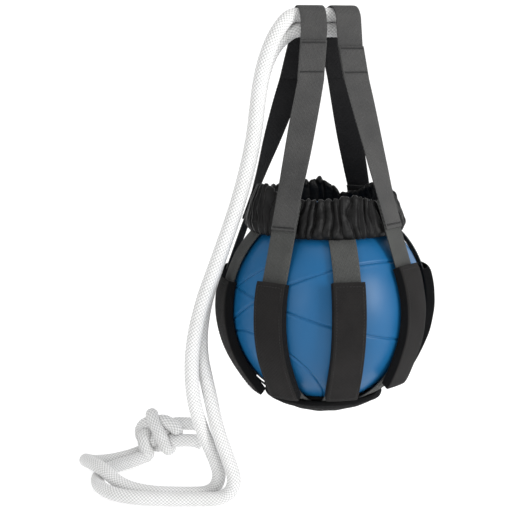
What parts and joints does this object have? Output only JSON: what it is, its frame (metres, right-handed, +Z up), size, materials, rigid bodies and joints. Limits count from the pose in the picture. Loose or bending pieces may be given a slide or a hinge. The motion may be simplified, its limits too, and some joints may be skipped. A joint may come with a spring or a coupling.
{
  "type": "webbing ball bag",
  "caption": "Padded webbing cage holding a filled ball, with a gathered collar, hanging straps that meet in loops, and a doubled braided rope ending in a knot.",
  "frame": {"origin": "the hanging point: the middle of the doubled rope where it passes through the two strap loops", "axes": "+Z up along the hanging bag, -Y towards the side first seen, +X to its right; the rope runs through the loops 16 degrees round from +X"},
  "size_m": [0.4259, 0.2521, 0.5694],
  "materials": {
    "ball_vinyl": "satin moulded vinyl",
    "ball_filling": "loose granules",
    "ball_plug": "matte rubber",
    "arm_webbing": "woven polyester webbing, olive grey",
    "strap_webbing": "woven polyester webbing, dark grey",
    "sleeve_fabric": "coarse dark fabric",
    "foam": "closed-cell foam",
    "base_fabric": "coarse black fabric",
    "collar_fabric": "gathered black nylon with a slight sheen",
    "elastic": "covered elastic",
    "thread": "black stitching",
    "rope_braid": "white braided polyester"
  },
  "bodies": {
    "rope": {"rope_leg_front": "rope_braid", "rope_leg_rear": "rope_braid", "rope_knot": "rope_braid", "rope_tail_front": "rope_braid", "rope_tail_rear": "rope_braid"},
    "bag": {"arm_1": "arm_webbing", "arm_2": "arm_webbing", "arm_3": "arm_webbing", "arm_4": "arm_webbing", "arm_5": "arm_webbing", "arm_6": "arm_webbing", "arm_7": "arm_webbing", "arm_8": "arm_webbing", "sleeve_1": "sleeve_fabric", "sleeve_2": "sleeve_fabric", "sleeve_3": "sleeve_fabric", "sleeve_4": "sleeve_fabric", "sleeve_5": "sleeve_fabric", "sleeve_6": "sleeve_fabric", "sleeve_7": "sleeve_fabric", "sleeve_8": "sleeve_fabric", "sleeve_pad_1": "foam", "sleeve_pad_2": "foam", "sleeve_pad_3": "foam", "sleeve_pad_4": "foam", "sleeve_pad_5": "foam", "sleeve_pad_6": "foam", "sleeve_pad_7": "foam", "sleeve_pad_8": "foam", "strap_front_left": "strap_webbing", "strap_back_left": "strap_webbing", "strap_front_right": "strap_webbing", "strap_back_right": "strap_webbing", "loop_left": "strap_webbing", "loop_right": "strap_webbing", "collar": "collar_fabric", "collar_elastic": "elastic", "collar_tape": "collar_fabric", "base_cover": "base_fabric", "base_pad": "foam", "base_lining": "base_fabric", "strap_tacks": "thread", "rope_bight": "rope_braid"},
    "ball": {"ball_shell": "ball_vinyl", "ball_filling": "ball_filling", "ball_plug": "ball_plug"}
  },
  "joints": [
    {"name": "bag_swing", "type": "hinge", "parent": "rope", "child": "bag", "pos_m": [0, 0, 0], "axis": [0.9613, 0.2756, 0], "range_deg": [-60, 60]},
    {"name": "ball_spin", "type": "hinge", "parent": "bag", "child": "ball", "pos_m": [0, 0, -0.3155], "axis": [0, 0, 1], "continuous": true}
  ]
}
